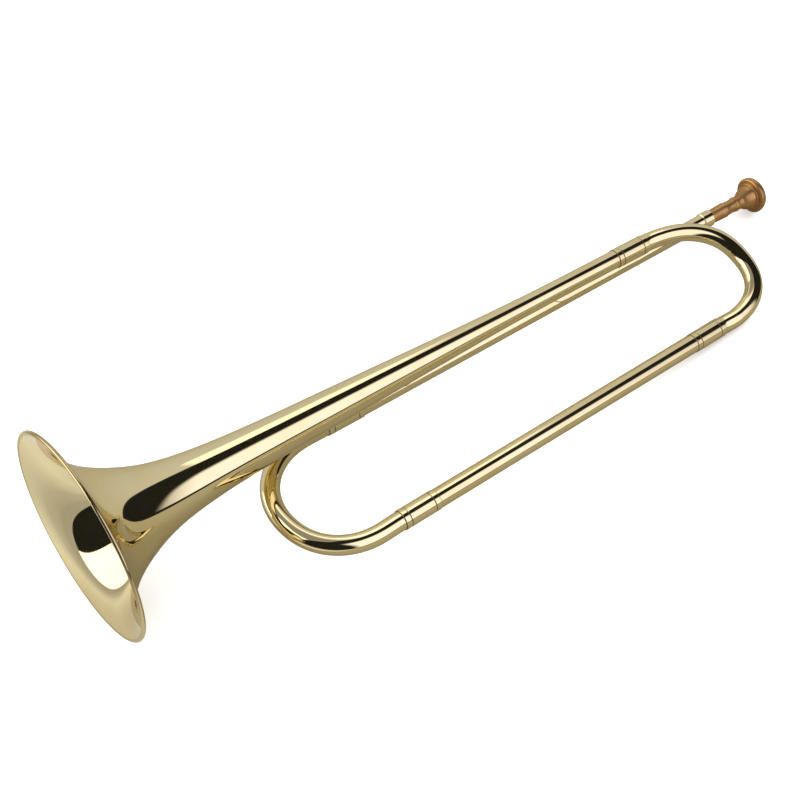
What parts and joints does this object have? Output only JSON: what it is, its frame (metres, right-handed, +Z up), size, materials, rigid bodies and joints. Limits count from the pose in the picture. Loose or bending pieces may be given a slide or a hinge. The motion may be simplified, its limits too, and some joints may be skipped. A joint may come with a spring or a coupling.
{
  "type": "bugle",
  "caption": "Bugle with a flared bell, one long loop of brass tube joined by ferrules, and a lift-out cup mouthpiece.",
  "frame": {"origin": "middle of the bounding box, on the table the bugle lies on", "axes": "+Z up, +X from the bell mouth towards the mouthpiece, the loop lying to the -Y side of the bell; the bugle rests on the edge of its bell, its rear lower ferrule and the rim of its mouthpiece"},
  "size_m": [0.5534, 0.1552, 0.1326],
  "materials": {
    "bell_brass": "polished and lacquered",
    "tube_brass": "polished and lacquered",
    "ferrule_brass": "polished and lacquered, turned",
    "mouthpiece_metal": "raw, satin, turned",
    "rim_wire": "drawn wire, rolled into the edge"
  },
  "bodies": {
    "horn": {"bell": "bell_brass", "bell_rim_wire": "rim_wire", "bell_ferrule": "ferrule_brass", "rear_bow": "tube_brass", "lower_rear_ferrule": "ferrule_brass", "lower_tube": "tube_brass", "lower_front_ferrule": "ferrule_brass", "front_bow": "tube_brass", "leadpipe_ferrule": "ferrule_brass", "leadpipe": "tube_brass", "receiver_collar": "ferrule_brass", "front_stay": "ferrule_brass", "rear_stay": "ferrule_brass"},
    "mouthpiece": {"mouthpiece": "mouthpiece_metal"}
  },
  "joints": [
    {"name": "mouthpiece_pull", "type": "slide", "parent": "horn", "child": "mouthpiece", "axis": [0.9989, -0.0098, -0.0465], "range_m": [0, 0.03]}
  ]
}
